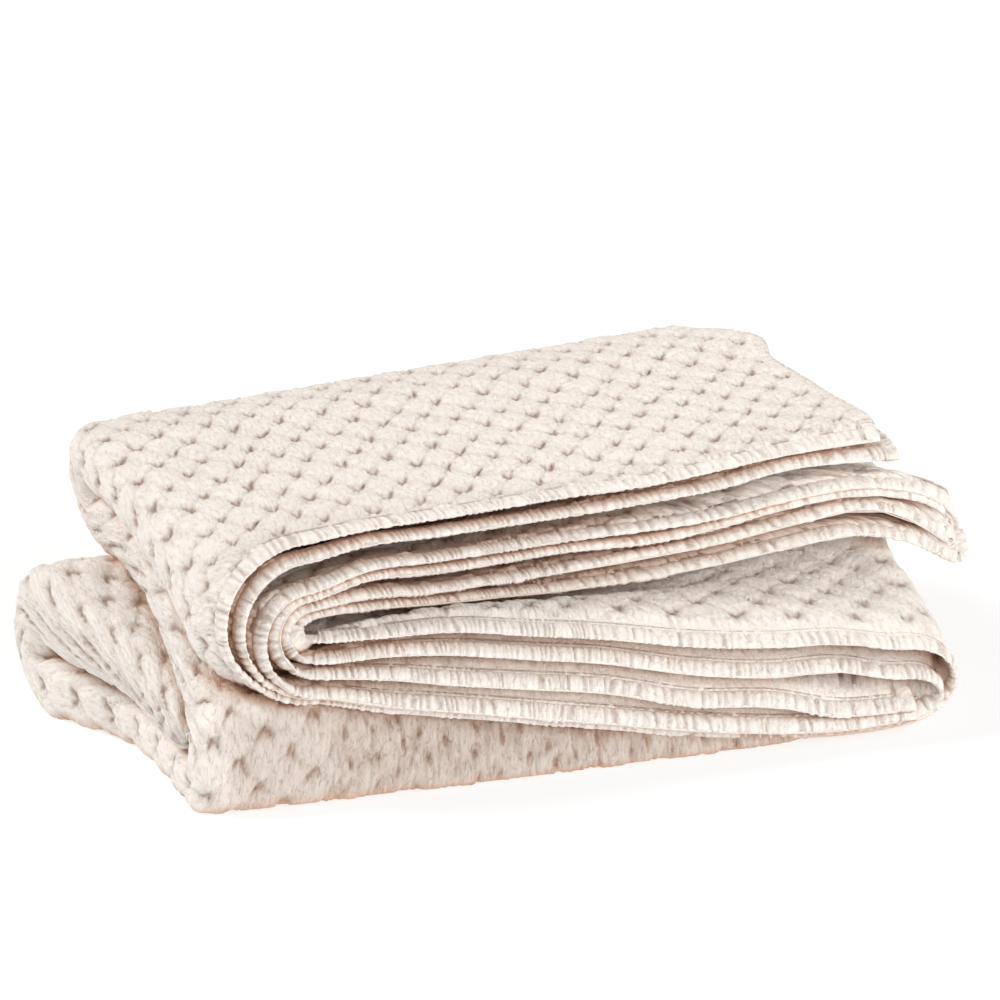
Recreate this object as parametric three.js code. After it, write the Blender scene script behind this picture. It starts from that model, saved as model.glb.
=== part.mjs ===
// A matelasse coverlet, folded into a soft pile. The coverlet is one quilted cotton cloth with turned hems.
// It is halved so that its two side hems meet, folded back and forth into a bundle of six levels, and the
// bundle is folded over itself in depth, so the pile shows hems at the upper front, a closed fold below
// them, and rounded folds at the left and the back.
//
// Millimetres, +Z up. X runs along the front, Y away from it. The pile is laid out with X and Y measured
// from its lower left front corner, and then moved so that its origin is the middle of its underside.

import * as THREE from "three";

// The cloth
const CLOTH = 1.2;              // thickness of the cloth where it is pressed in the pile
const PITCH = 2.6;              // from one layer of the pressed pile to the next
const LEVELS = 6;               // levels of doubled cloth in the bundle

// The pile
const BACK_HEIGHT = 106;        // top of the lower bundles at the back, where the upper one lies on them
const WALL_HEIGHT = 50;         // the closed front fold's height
const CORNER = { reach: 50, rise: 4, power: 1.5 };    // and how its left corner is drawn up
const TOP_POWER = 2.2;          // how quickly the lower bundles' top rises behind the closed front
const WALL_DEPTH = 24;          // the closed front fold's depth, from its foot to its face
const INNER_TURN = 33;          // height of the middle of the lowest back fold
const FRONT_PRESS = 0.68;       // how much closer the layers lie at the closed front than at the back
const FACE_PRESS = 0.95;        // and how much closer still in the closed front's face
const FRONT_ROUND = { brow: 0.75, foot: 0.35 };    // roundness of its two edges, 1 for a circle
const TUCK = 45;                // how far behind the closed front's brow the innermost bundle ends,
const SHORTEST = 15;            // but no nearer than this to the bundles' middle line
const END_PRESS = 0.5;          // how close the layers lie at the innermost bundle's end
const MIDDLE = { left: 112, turn: 0.07 };    // a line across the middle of every bundle
const CLEAR = 2;                // room between the upper bundle and what it lies on
const LOOSE_POWER = 1.6;        // how the gaps between the upper bundle's layers close behind their hems
const HEM_STRIP = { shoulder: 8, brow: 20 };    // least depth of a layer from its hem to these two lines

// The upper bundle's front section. Each row is the gap between two neighbouring layers at their hems,
// from the top one down, at five places along the front.
const PLACES = [60, 125, 205, 290, 360];
const HEM_HEIGHTS = [50, 36, 20.5, 6.5, 5];   // height of the upper bundle's lowest layer at its hem
const FRONT_GAPS = [
  { above: "top layer",     gap: [10, 9, 10, 10, 8] },
  { above: "second layer",  gap: [17, 13, 13, 16, 15] },
  { above: "third layer",   gap: [3, 6.5, 6, 4.5, 3] },
  { above: "fourth layer",  gap: [6, 9, 10, 9, 9] },
  { above: "fifth layer",   gap: [3, 6.5, 10, 11, 13] },
  { above: "sixth layer",   gap: [10, 7, 9, 11, 11] },
  { above: "seventh layer", gap: [10.5, 12.5, 13, 15.5, 16] },
  { above: "eighth layer",  gap: [6.5, 15, 15.5, 14.5, 16.5] },
  { above: "ninth layer",   gap: [9, 14, 15.5, 15, 7] },
  { above: "tenth layer",   gap: [4, 3, 3, 3, 3] },
  { above: "last but one",  gap: [3.5, 2.8, 2.8, 2.8, 2.8] },
];

// Each level of doubled cloth, from the top one down: where its hem lies at the left and at the right end
// of the front, measured away from the front, how far back it gapes, and whether the cloth's outer half
// is the upper (1) or the lower (-1) of its two layers.
const LEVEL_ROWS = [
  { name: "first",  hemLeft: -2, hemRight: 78,  gape: 170, outerUp: 1 },
  { name: "second", hemLeft: -2, hemRight: 78,  gape: 150, outerUp: 1 },
  { name: "third",  hemLeft: -2, hemRight: 76,  gape: 130, outerUp: -1 },
  { name: "fourth", hemLeft: 0,  hemRight: -14, gape: 75,  outerUp: 1 },
  { name: "fifth",  hemLeft: -2, hemRight: -22, gape: 75,  outerUp: -1 },
  { name: "sixth",  hemLeft: 4,  hemRight: -12, gape: 75,  outerUp: -1 },
];
const HEM_SPAN = 400;           // the length of front over which the hems run from left to right

// The way the doubled cloth goes through the levels, from the top level's end, towards the left (-1) and
// back towards the right (1).
const ROUTE = [
  { level: 0, towards: -1 },
  { level: 5, towards: 1 },
  { level: 3, towards: -1 },
  { level: 2, towards: 1 },
  { level: 1, towards: -1 },
  { level: 4, towards: 1 },
];

// The turn that leads on from each level of the route but the last. At the front its middle is at x, and it
// bulges by reach with its two layers a spread apart; pressed, at the back, it is at backX and bulges by
// backReach.
const TURNS = [
  { side: -1, x: 61,  reach: 41, spread: 9, backX: 14,  backReach: 15,  steps: 5 },
  { side: 1,  x: 358, reach: 27, spread: 8, backX: 358, backReach: 8,   steps: 4 },
  { side: -1, x: 61,  reach: 11, spread: 6, backX: 14,  backReach: 3.5, steps: 4 },
  { side: 1,  x: 416, reach: 14, spread: 7, backX: 360, backReach: 3.5, steps: 4 },
  { side: -1, x: 61,  reach: 23, spread: 7, backX: 14,  backReach: 9,   steps: 4 },
];
const FIRST_END = { x: 388, backX: 378, foldX: 346 };    // the top level's hemmed end, oblique at the back
const LAST_END = { x: 364, backX: 346 };      // the hemmed end of the fifth level
const MIDWAY = [125, 205, 290, 335];          // the sections between a level's two ends

// The second and third levels end in a loose nose at the right, which sags from here on at the front.
const LOOSE_LEVELS = [1, 2];
const NOSE_ROOT = { x: 384, backX: 352 };
const NOSE = { length: 48, sag: 22, power: 1.6, longest: 1.3 };

// The back edges of the upper and of the lower bundles, at the left end and for each mm of front, and how
// much more the upper back fold bulges at the right than at the left.
const UPPER_BACK = { left: 192, turn: 0.17 };
const LOWER_BACK = { left: 163, turn: 0.1 };
const BACK_BULGE = { left: 1.05, right: 1.3 };
const LOBE_LIFT = { reach: 45, rise: 12 };    // how the lowest back fold puffs up at its left end

// How far the closed front leans back, and how far its foot is set back, at places along the front.
const FRONT_LEAN = [
  { x: 0,   lean: 0,  setBack: -2 },
  { x: 60,  lean: 7,  setBack: -5 },
  { x: 120, lean: 24, setBack: -9 },
  { x: 200, lean: 38, setBack: -11 },
  { x: 290, lean: 58, setBack: -13 },
  { x: 400, lean: 68, setBack: 0 },
];

// The bundle on its way through the pile. Each row is a section across the bundle, with how far the left
// and right ends of its levels are moved from those of the upper bundle's back.
const DEPTH_ROWS = [
  { name: "upper, hem",       run: "upper",    at: "hem",      pressed: 0,    left: 0,   right: 0 },
  { name: "upper, shoulder",  run: "upper",    at: "shoulder", pressed: 0.12, left: 0,   right: -8 },
  { name: "upper, brow",      run: "upper",    at: "brow",     pressed: 0.35, left: 0,   right: -12 },
  { name: "upper, middle",    run: "upper",    at: "middle",   pressed: 0.75, left: 0,   right: -6 },
  { name: "upper, back",      run: "upper",    at: "back",     pressed: 1,    left: 0,   right: -2 },
  { name: "back fold, over",  run: "backFold", at: 0.25,       pressed: 1,    left: 0,   right: -2 },
  { name: "back fold",        run: "backFold", at: 0.5,        pressed: 1,    left: 2,   right: 0 },
  { name: "back fold, under", run: "backFold", at: 0.75,       pressed: 1,    left: 4,   right: -2 },
  { name: "second, back",     run: "second",   at: "back",     pressed: 1,    left: 5,   right: -4 },
  { name: "second, middle",   run: "second",   at: "middle",   pressed: 1,    left: 10,  right: -4 },
  { name: "front fold, top",  run: "wrap",     at: 0,          pressed: 1,    left: 6,   right: -8 },
  { name: "front fold, over", run: "wrap",     at: 0.22,       pressed: 1,    left: 3,   right: -10 },
  { name: "front fold",       run: "wrap",     at: 0.5,        pressed: 1,    left: 2,   right: -10 },
  { name: "front fold, low",  run: "wrap",     at: 0.78,       pressed: 1,    left: 1,   right: -10 },
  { name: "front fold, foot", run: "wrap",     at: 1,          pressed: 1,    left: 1,   right: -10 },
  { name: "bottom, middle",   run: "bottom",   at: "middle",   pressed: 1,    left: -2,  right: -4 },
  { name: "bottom, back",     run: "bottom",   at: "back",     pressed: 1,    left: -16, right: 0 },
  { name: "low fold, under",  run: "lowFold",  at: 0.25,       pressed: 1,    left: -24, right: 0 },
  { name: "low fold",         run: "lowFold",  at: 0.5,        pressed: 1,    left: -34, right: 2 },
  { name: "low fold, over",   run: "lowFold",  at: 0.75,       pressed: 1,    left: -38, right: 0 },
  { name: "third, back",      run: "third",    at: "back",     pressed: 1,    left: -38, right: 0 },
  { name: "third, middle",    run: "third",    at: "middle",   pressed: 1,    left: -14, right: -4 },
  { name: "third, front",     run: "third",    at: "end",      pressed: 1,    left: 2,   right: -8 },
];
// Roundness of the levels' turns in each run of the bundle, 1 for a circle.
const TURN_ROUND = {
  upper: 0.8, backFold: 0.8, second: 0.8, wrap: 0.55, bottom: 0.55, lowFold: 0.7, third: 0.8,
};
const FOLD_STEPS = 2;           // steps round the halving fold, on each side of its crest

const clamp = (value, low, high) => Math.min(high, Math.max(low, value));
const mix = (a, b, part) => a + (b - a) * part;

// A sine or cosine drawn outwards, so that what turns by it has a fuller shape than a circle.
const rounded = (value, round) => Math.sign(value) * Math.abs(value) ** round;

// A value from a short table, in straight stretches between its places.
function along(places, values, x) {
  let i = 0;
  while (i < places.length - 2 && x > places[i + 1]) i += 1;
  return mix(values[i], values[i + 1], clamp((x - places[i]) / (places[i + 1] - places[i]), 0, 1));
}

const leanAt = (x) => along(FRONT_LEAN.map((row) => row.x), FRONT_LEAN.map((row) => row.lean), x);
const footAt = (x) => along(FRONT_LEAN.map((row) => row.x), FRONT_LEAN.map((row) => row.setBack), x);

// Lines across the pile from left to right, and their distance from the front.
const hemAt = (level, x) =>
  mix(LEVEL_ROWS[level].hemLeft, LEVEL_ROWS[level].hemRight, clamp(x / HEM_SPAN, 0, 1.15));
const browAt = (x) => footAt(x) + leanAt(x) + WALL_DEPTH;
const middleAt = (x) => MIDDLE.left + MIDDLE.turn * x;
const upperBackAt = (x) => UPPER_BACK.left + UPPER_BACK.turn * x;
const lowerBackAt = (x) => LOWER_BACK.left + LOWER_BACK.turn * x;

// Top of the lower bundles at the brow of the closed front, where the left corner is drawn up a little.
const wallAt = (x) => WALL_HEIGHT + CORNER.rise * clamp(1 - x / CORNER.reach, 0, 1) ** CORNER.power;

// Top of the lower bundles behind the brow: it rises to its full height at the back.
function lowerTop(x, y) {
  const part = clamp((y - browAt(x)) / (upperBackAt(x) - browAt(x)), 0, 1);
  return mix(wallAt(x), BACK_HEIGHT, 1 - (1 - part) ** TOP_POWER);
}

const pressOf = (x, y) => mix(FRONT_PRESS, 1, clamp((y - browAt(x)) / (lowerBackAt(x) - browAt(x)), 0, 1));

// The closed front, at an angle from its brow (0) round its face to its foot (180 degrees), for a layer
// that lies rho inside the outermost one.
function wallPoint(x, angle, rho) {
  const round = angle > Math.PI / 2 ? FRONT_ROUND.foot : FRONT_ROUND.brow;
  const half = wallAt(x) / 2;
  const inset = rho * FRONT_PRESS;
  const z = half + (half - inset) * rounded(Math.cos(angle), round);
  const line = mix(footAt(x) + WALL_DEPTH, browAt(x), z / wallAt(x));
  return { y: line - (WALL_DEPTH - inset * FACE_PRESS) * rounded(Math.sin(angle), round), z };
}

// What the upper bundle's lowest layer follows: its hem's height, the closed front's shoulder and brow,
// and then the top behind it.
const SHOULDER = { angle: 0.22 * Math.PI, before: 6 };
function support(x, y) {
  const shoulder = wallPoint(x, SHOULDER.angle, 0);
  const hem = hemAt(LEVELS - 1, x);
  const hemZ = along(PLACES, HEM_HEIGHTS, x);
  const low = Math.max(shoulder.z + CLEAR, hemZ);
  const shoulderY = Math.max(shoulder.y - SHOULDER.before, hem + HEM_STRIP.shoulder);
  if (y < shoulderY) return mix(hemZ, low, clamp((y - hem) / (shoulderY - hem), 0, 1));
  if (y < browAt(x)) {
    return mix(low, Math.max(low, wallAt(x) + CLEAR), (y - shoulderY) / (browAt(x) - shoulderY));
  }
  return lowerTop(x, y) + CLEAR;
}

// Distance of a level's section line from the front, in the upper bundle.
function upperLine(level, at, x) {
  const hem = hemAt(level, x);
  if (at === "hem") return hem;
  if (at === "shoulder") {
    return Math.max(wallPoint(x, SHOULDER.angle, 0).y - SHOULDER.before, hem + HEM_STRIP.shoulder);
  }
  if (at === "brow") return Math.max(browAt(x), hem + HEM_STRIP.brow);
  return at === "middle" ? middleAt(x) : upperBackAt(x);
}

// Rank of a layer in the bundle, 0 at its underside, from its level and its side of the doubled cloth.
const rankOf = (level, side) => 2 * (LEVELS - 1 - level) + (side > 0 ? 1 : 0);

// Heights of a level's two layers in the upper bundle, the lower one and the upper one. The layers gape
// at their hems, and lie pressed a hand's breadth behind them.
function upperPair(level, x, y) {
  const pair = [];
  let z = support(x, y);
  for (let rank = 0; rank < 2 * LEVELS; rank += 1) {
    if (rank > 0) {
      const above = LEVELS - 1 - Math.floor(rank / 2);
      const behind = (y - hemAt(above, x)) / LEVEL_ROWS[above].gape;
      const loose = clamp(1 - behind, 0, 1) ** LOOSE_POWER;
      z += mix(PITCH, along(PLACES, FRONT_GAPS[2 * LEVELS - 1 - rank].gap, x), loose);
    }
    if (rank === rankOf(level, -1) || rank === rankOf(level, 1)) pair.push(z);
  }
  return pair;
}

// A station of the doubled cloth's route: a place on a level, or on the turn between two levels. A level
// has its stations at its two ends and at the sections between them.
function routeStations() {
  const stations = [{ leg: ROUTE[0], line: FIRST_END, side: 1 }];
  ROUTE.forEach((leg, i) => {
    const sections = MIDWAY.map((x) => ({ leg, midway: x }));
    if (LOOSE_LEVELS.includes(leg.level)) sections.push({ leg, line: NOSE_ROOT, side: 1 });
    stations.push(...(leg.towards > 0 ? sections : sections.toReversed()));
    const turn = TURNS[i];
    if (!turn) {
      stations.push({ leg, line: LAST_END, side: 1 });
      return;
    }
    for (let step = 0; step <= turn.steps; step += 1) {
      stations.push({ leg, next: ROUTE[i + 1], turn, part: step / turn.steps });
    }
  });
  return stations;
}

// Distance of a place on a layer from the bundle's underside, when the bundle is pressed flat. The skin of
// the lowest layer is the underside, and it lies flat on what the pile stands on.
function pressedHeight(level, offset) {
  const middle = (LEVELS - 1 - level) * 2 * PITCH + (PITCH + CLOTH) / 2;
  return middle + offset * LEVEL_ROWS[level].outerUp;
}

// The point of the pile on a level of the bundle, at a section of its way in depth. offset is the
// distance from the middle of the doubled cloth, whose two layers are a PITCH apart when pressed.
function levelPoint(level, x, row, offset) {
  const rho = pressedHeight(level, offset);
  const angle = Math.PI * row.at;
  if (row.run === "upper") {
    const y = upperLine(level, row.at, x);
    const [low, high] = upperPair(level, x, y);
    const up = offset * LEVEL_ROWS[level].outerUp;
    return { y, z: up > 0 ? high + up - PITCH / 2 : low + up + PITCH / 2 };
  }
  if (row.run === "backFold") {
    const bulge = mix(BACK_BULGE.left, BACK_BULGE.right, clamp(x / HEM_SPAN, 0, 1));
    const rise = CLEAR / 2 + rho + PITCH / 4;
    const z = BACK_HEIGHT + CLEAR / 2 + rise * Math.cos(angle);
    return { y: upperBackAt(x) + rise * bulge * Math.sin(angle), z };
  }
  if (row.run === "second") {
    const y = row.at === "back" ? upperBackAt(x) : middleAt(x);
    return { y, z: lowerTop(x, y) - rho * pressOf(x, y) - PITCH / 4 };
  }
  if (row.run === "wrap") return wallPoint(x, angle, rho);
  const back = lowerBackAt(x);
  if (row.run === "bottom") {
    const y = row.at === "back" ? back : middleAt(x);
    return { y, z: rho * pressOf(x, y) };
  }
  const radius = INNER_TURN - rho;
  if (row.run === "lowFold") {
    return { y: back + radius * Math.sin(angle), z: INNER_TURN - radius * Math.cos(angle) };
  }
  const end = Math.min(browAt(x) + TUCK, middleAt(x) - SHORTEST);
  const y = { back, middle: middleAt(x), end }[row.at];
  const press = mix(END_PRESS, 1, (y - end) / (back - end));
  return { y, z: INNER_TURN * pressOf(x, y) + radius * press };
}

function pilePoint(station, row, offset) {
  const shift = (side) => (side < 0 ? row.left : row.right);
  const lineAt = (line, side) => {
    const back = row.run === "upper" ? line.backX : line.foldX ?? line.backX;
    return mix(line.x, back, row.pressed) + shift(side);
  };
  const { leg, next, turn, part } = station;
  if (!turn) {
    const x = station.midway ?? lineAt(station.line, station.side);
    const { y, z } = levelPoint(leg.level, x, row, offset);
    return sagging(leg.level, new THREE.Vector3(x, y, z), row.pressed);
  }
  const middle = lineAt(turn, turn.side);
  const outward = LEVEL_ROWS[leg.level].outerUp * (leg.level < next.level ? 1 : -1);
  const opened = Math.sign(offset) * mix((turn.spread - PITCH) / 2, 0, row.pressed);
  const reach = mix(turn.reach, turn.backReach, row.pressed) + outward * (offset + opened);
  const a = levelPoint(leg.level, middle, row, offset);
  const b = levelPoint(next.level, middle, row, offset);
  const angle = Math.PI * part;
  const round = mix(1, TURN_ROUND[row.run], row.pressed);
  const blend = (1 - rounded(Math.cos(angle), round)) / 2;
  const x = middle + turn.side * reach * rounded(Math.sin(angle), round);
  const point = new THREE.Vector3(x, mix(a.y, b.y, blend), mix(a.z, b.z, blend));
  if (row.run === "lowFold" || row.run === "third") point.z += lobeLift(point);
  return sagging(leg.level, point, row.pressed);
}

// The left end of the lowest back fold puffs up beside the bundles above it, and its foot stays down.
const lobeLift = (point) =>
  LOBE_LIFT.rise * clamp(-point.x / LOBE_LIFT.reach, 0, 1) * clamp(point.z / INNER_TURN, 0, 1);

// The loose nose of the second and third levels hangs down past the levels below it.
function sagging(level, point, pressed) {
  if (LOOSE_LEVELS.includes(level)) {
    const part = clamp((point.x - NOSE_ROOT.x) / NOSE.length, 0, NOSE.longest);
    point.z -= NOSE.sag * part ** NOSE.power * (1 - pressed);
  }
  return point;
}

// The thin, U-shaped loop of one station: out along one layer of the doubled cloth from hem to halving
// fold and back along the other, first on its outer skin and then on its inner one.
function stationLoop(station) {
  const last = DEPTH_ROWS[DEPTH_ROWS.length - 1];
  const skinLoop = (reach) => {
    const loop = DEPTH_ROWS.map((row) => pilePoint(station, row, reach));
    for (let step = 1; step < 2 * FOLD_STEPS; step += 1) {
      const angle = (Math.PI * step) / (2 * FOLD_STEPS);
      const crest = pilePoint(station, last, reach * Math.cos(angle));
      crest.y -= reach * Math.sin(angle);
      loop.push(crest);
    }
    return [...loop, ...DEPTH_ROWS.toReversed().map((row) => pilePoint(station, row, -reach))];
  };
  const outer = skinLoop((PITCH + CLOTH) / 2);
  const inner = skinLoop((PITCH - CLOTH) / 2);
  return [...outer, ...inner.toReversed()];
}

// A closed solid from equal loops, one for each station, with both ends closed across the thin cloth. Every
// quad is split from its left, farther corner to its right, nearer one, so that pressed layers bend alike.
function loftLoops(loops) {
  const count = loops[0].length;
  const lastOuter = count / 2 - 1;
  const distance = (ring, i) => loops[ring][i].y + loops[ring][i].z;
  const index = [];
  for (let ring = 0; ring < loops.length - 1; ring += 1) {
    for (let i = 0; i < count; i += 1) {
      const j = (i + 1) % count;
      const a = ring * count + i;
      const b = ring * count + j;
      const rightward = loops[ring + 1][i].x > loops[ring][i].x;
      const farther = distance(ring, j) + distance(ring + 1, j) > distance(ring, i) + distance(ring + 1, i);
      if (rightward === farther) index.push(a, b, a + count, b, b + count, a + count);
      else index.push(a, b, b + count, a, b + count, a + count);
    }
  }
  for (const [ring, flip] of [[0, true], [loops.length - 1, false]]) {
    const base = ring * count;
    for (let i = 0; i < lastOuter; i += 1) {
      const quad = [base + i, base + i + 1, base + count - 2 - i, base + count - 1 - i];
      if (flip) quad.reverse();
      index.push(quad[0], quad[1], quad[2], quad[0], quad[2], quad[3]);
    }
  }
  const geometry = new THREE.BufferGeometry();
  const positions = loops.flat().flatMap((point) => point.toArray());
  geometry.setAttribute("position", new THREE.Float32BufferAttribute(positions, 3));
  geometry.setIndex(index);
  return geometry;
}

function makeCoverlet() {
  const geometry = loftLoops(routeStations().map(stationLoop));
  geometry.computeBoundingBox();
  const { min, max } = geometry.boundingBox;
  geometry.translate(-(min.x + max.x) / 2, -(min.y + max.y) / 2, -min.z);
  const cotton = new THREE.MeshStandardMaterial({ color: 0xefe5d8, roughness: 0.95, metalness: 0 });
  cotton.name = "washed cotton";
  const coverlet = new THREE.Mesh(geometry, cotton);
  coverlet.name = "coverlet";
  return coverlet;
}

const model = new THREE.Group();
model.add(makeCoverlet());
export default model;
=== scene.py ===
# A matelasse coverlet, folded into a soft pile. It is one quilted cotton cloth with turned hems, halved so
# that its side hems meet, folded into six levels of doubled cloth, and then folded over itself in depth.

import math

import bmesh
import bpy
import numpy as np
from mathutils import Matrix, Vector


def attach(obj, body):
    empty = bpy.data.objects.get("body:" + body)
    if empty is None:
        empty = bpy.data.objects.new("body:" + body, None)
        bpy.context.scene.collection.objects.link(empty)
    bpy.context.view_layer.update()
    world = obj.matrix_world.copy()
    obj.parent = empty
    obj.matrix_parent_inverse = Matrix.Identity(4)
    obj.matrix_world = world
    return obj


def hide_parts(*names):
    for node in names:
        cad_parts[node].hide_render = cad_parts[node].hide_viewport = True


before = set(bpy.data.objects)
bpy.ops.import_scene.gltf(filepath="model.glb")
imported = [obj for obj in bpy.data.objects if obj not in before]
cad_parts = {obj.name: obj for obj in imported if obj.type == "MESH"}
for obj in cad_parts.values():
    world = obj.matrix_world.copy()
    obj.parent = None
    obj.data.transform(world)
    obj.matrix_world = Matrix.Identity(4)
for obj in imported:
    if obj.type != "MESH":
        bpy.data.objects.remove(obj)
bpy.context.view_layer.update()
MM = 0.001

# Floor, light and camera.
# A white photographic table, lit from within and running on out of view, under a bright room, a large soft
# lamp overhead and two weaker ones in front. The camera has a long lens, left of the pile's front.


def to_linear(code):
    """Linear red, green and blue of an sRGB hex colour."""
    values = [int(code[i : i + 2], 16) / 255 for i in (1, 3, 5)]
    return [c / 12.92 if c <= 0.04045 else ((c + 0.055) / 1.055) ** 2.4 for c in values]


def add_node(tree, kind, settings=None, **inputs):
    """Adds a node to a material, sets it and fills its sockets with values or with other sockets."""
    node = tree.nodes.new(kind)
    for key, value in (settings or {}).items():
        setattr(node, key, value)
    for key, value in inputs.items():
        slot = node.inputs[int(key[1:]) if key[1:].isdigit() else key.replace("_", " ")]
        if isinstance(value, bpy.types.NodeSocket):
            tree.links.new(value, slot)
        else:
            slot.default_value = value
    return node


def new_material(name):
    """An empty material with a node tree and its output."""
    material = bpy.data.materials.new(name)
    material.use_nodes = True
    material.node_tree.nodes.clear()
    return material, material.node_tree


# White acrylic of a light table: even and matt, and it glows.
paint, tree = new_material("white_light_table")
shader = add_node(
    tree, "ShaderNodeBsdfPrincipled", Base_Color=(0.35, 0.35, 0.35, 1), Roughness=1.0, Specular_IOR_Level=0.0,
    Emission_Color=(1, 1, 1, 1), Emission_Strength=0.7,
)
add_node(tree, "ShaderNodeOutputMaterial", Surface=shader.outputs[0])

FLOOR_REACH = 9
bm = bmesh.new()
bmesh.ops.create_grid(bm, x_segments=1, y_segments=1, size=FLOOR_REACH)
floor_mesh = bpy.data.meshes.new("floor")
bm.to_mesh(floor_mesh)
bm.free()
floor = bpy.data.objects.new("floor", floor_mesh)
floor_mesh.materials.append(paint)
bpy.context.collection.objects.link(floor)

world = bpy.data.worlds.new("white_studio")
world.use_nodes = True
world.node_tree.nodes.clear()
sky = add_node(world.node_tree, "ShaderNodeBackground", Color=(1, 0.94, 0.87, 1), Strength=0.42)
add_node(world.node_tree, "ShaderNodeOutputWorld", Surface=sky.outputs[0])
bpy.context.scene.world = world
bpy.context.scene.view_settings.view_transform = "Standard"

# Each lamp's name, kind, place in metres, breadth (an angle for the overhead one) and power.
LAMPS = (
    ("overhead", "SUN", (-0.68, 0.4, 0.72), 0.35, 2.05),
    ("front_fill", "AREA", (0.2, -2.4, 0.8), 1.2, 28),
    ("right_fill", "AREA", (2.0, -1.6, 1.3), 0.9, 27),
)
for name, kind, place, breadth, power in LAMPS:
    lamp = bpy.data.lights.new(name, kind)
    lamp.energy = power
    if kind == "SUN":
        lamp.angle = breadth
    else:
        lamp.size = breadth
    light = bpy.data.objects.new(name, lamp)
    light.location = place
    light.rotation_euler = Vector(place).to_track_quat("Z", "Y").to_euler()
    bpy.context.collection.objects.link(light)

# The fold's lines are measured in mm from the lower left front corner of the pile. CORNER is that corner's
# place from the part's origin, and CORNER_SEEN its pixel in the picture, which is 1000 pixels wide. The
# lens's focal length is in the same pixels, and its distance from the corner in mm.
CORNER = Vector((-196.89, -135.02, 0))
CORNER_SEEN = Vector((202, 817))
PICTURE = 1000
PICTURE_MIDDLE = Vector((PICTURE / 2, PICTURE / 2))
AZIMUTH = math.radians(20)
ELEVATION = math.radians(18.3)
FOCAL = 5000
DISTANCE = 2381
SENSOR = 36
right = Vector((math.cos(AZIMUTH), -math.sin(AZIMUTH), 0))
level_cos = math.cos(ELEVATION)
ahead = Vector((math.sin(AZIMUTH) * level_cos, math.cos(AZIMUTH) * level_cos, -math.sin(ELEVATION)))
above = right.cross(ahead)
seen = (CORNER_SEEN - PICTURE_MIDDLE) * DISTANCE / FOCAL
eye = CORNER - right * seen.x + above * seen.y - ahead * DISTANCE

lens = bpy.data.cameras.new("camera")
lens.sensor_width = SENSOR
lens.lens = SENSOR * FOCAL / PICTURE
lens.clip_end = 50
camera = bpy.data.objects.new("camera", lens)
camera.location = eye * MM
camera.rotation_euler = (-ahead).to_track_quat("Z", "Y").to_euler()
bpy.context.collection.objects.link(camera)
bpy.context.scene.camera = camera

# The folded cloth.
# One thin cotton cloth of 1.77 by 2.33 m. It is folded one by one: each level, turn and fold below is laid
# where the folded pile has it, and the cloth runs on in one piece from hem to hem.
CLOTH = 0.6  # thickness of the sheet that the quilted faces lie on
PITCH = 2.6  # from one layer of the pressed pile to the next
LEVELS = 6  # levels of doubled cloth in the bundle
LOWEST = 1.9  # middle of the bundle's lowest level above the bundle's underside
CLEAR = 2  # room between the upper bundle and what it lies on
LOOSE_POWER = 1.6  # how the gaps between the upper layers close behind their hems
SETTLED = 0.985  # height of the settled pile, as a part of the heights given here

# The closed front, and the lower bundles behind it.
WALL_HEIGHT = 50
WALL_DEPTH = 24
BROW_ROUND = 0.75  # roundness of its upper edge, 1 for a circle
FOOT_ROUND = 0.35  # and of its lower one
CORNER_REACH = 50  # how its left corner is drawn up a little
CORNER_RISE = 4
CORNER_POWER = 1.5
BACK_HEIGHT = 106  # top of the lower bundles at the back
TOP_POWER = 2.2  # how quickly it rises to there
FRONT_PRESS = 0.68  # how much closer the layers lie at the front than at the back
FACE_PRESS = 0.95  # and how much closer still in the front's face

# Lines across the pile: each one's distance from the front at the left, and its turn for each mm of front.
MIDDLE = (112, 0.07)
UPPER_BACK = (192, 0.17)
LOWER_BACK = (163, 0.1)
SLOPE_AT = 0.45  # the slope's place between the brow and the middle
SHOULDER_AT = 0.22  # the shoulder's place round the closed front
SHOULDER_BEFORE = 6
SHOULDER_BEHIND_HEM = 8
BROW_BEHIND_HEM = 20

# The back folds, and the end of the innermost bundle.
BACK_BULGE = (1.05, 1.3)  # how far the upper back fold bulges at the left and at the right
INNER_TURN = 33  # height of the middle of the lowest back fold
END_TUCK = 45  # how far behind the brow the innermost bundle ends
END_BEFORE_MIDDLE = 15
END_FORWARD = 50  # how much further forward its left end comes, over this reach
END_REACH = 90
END_PRESS = 0.35

# Heights of the hems above the floor at nine places along the front, in whole millimetres, from the top
# layer down. Below the last one, the two lowest layers end just under it.
PLACES = (60, 90, 125, 205, 250, 290, 325, 360, 385)
HEM_HEIGHTS = {
    "first": (131, 132, 131, 129, 127, 128, 129, 129, 127),
    "second": (121, 124, 122, 119, 118, 118, 121, 120, 115),
    "third": (105, 111, 109, 106, 103, 102, 104, 105, 101),
    "fourth": (101, 106, 103, 100, 96, 97, 100, 102, 97),
    "fifth": (96, 97, 93, 90, 89, 89, 91, 93, 89),
    "sixth": (92, 91, 87, 80, 78, 78, 79, 79, 76),
    "seventh": (84, 83, 82, 69, 60, 55, 53, 46, 31),
    "eighth": (73, 73, 70, 56, 45, 39, 38, 30, 15),
    "ninth": (66, 62, 55, 41, 29, 24, 15, 13, 15),
    "tenth": (56, 48, 41, 25, 16, 10, 7, 8, 11),
}
HEMS_UP = list(HEM_HEIGHTS.values())[::-1]
UNDER_LAST = 2.2

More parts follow.
